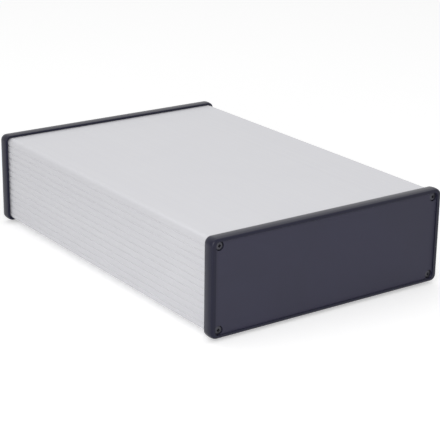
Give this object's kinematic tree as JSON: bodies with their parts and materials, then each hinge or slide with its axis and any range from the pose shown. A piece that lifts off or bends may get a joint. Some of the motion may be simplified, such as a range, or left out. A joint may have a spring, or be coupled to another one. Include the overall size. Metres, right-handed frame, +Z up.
{
  "type": "extruded aluminium enclosure",
  "caption": "Flat extruded aluminium instrument case with grooved sides, inner card guides, dark rimmed end panels held by recessed corner screws, and stick-on rubber feet.",
  "frame": {"origin": "middle of the case in plan, on the surface that its rubber feet stand on", "axes": "+Y along the extrusion from the front panel to the rear panel, so the front panel faces -Y; +Z up; +X to the right seen from the front"},
  "size_m": [0.164, 0.2404, 0.0597],
  "materials": {
    "anodised_body": "fine satin, natural anodised, faint lines along the extrusion",
    "panel_plastic": "fine moulded texture on the field, smoother rounded rim, graphite",
    "screw_steel": "black plated",
    "foot_rubber": "matt"
  },
  "bodies": {
    "root": {"body_shell": "anodised_body", "front_end_panel": "panel_plastic", "rear_end_panel": "panel_plastic", "front_screw_top_left": "screw_steel", "front_screw_top_right": "screw_steel", "front_screw_bottom_left": "screw_steel", "front_screw_bottom_right": "screw_steel", "rear_screw_top_left": "screw_steel", "rear_screw_top_right": "screw_steel", "rear_screw_bottom_left": "screw_steel", "rear_screw_bottom_right": "screw_steel", "foot_front_left": "foot_rubber", "foot_front_right": "foot_rubber", "foot_rear_left": "foot_rubber", "foot_rear_right": "foot_rubber"}
  },
  "joints": []
}
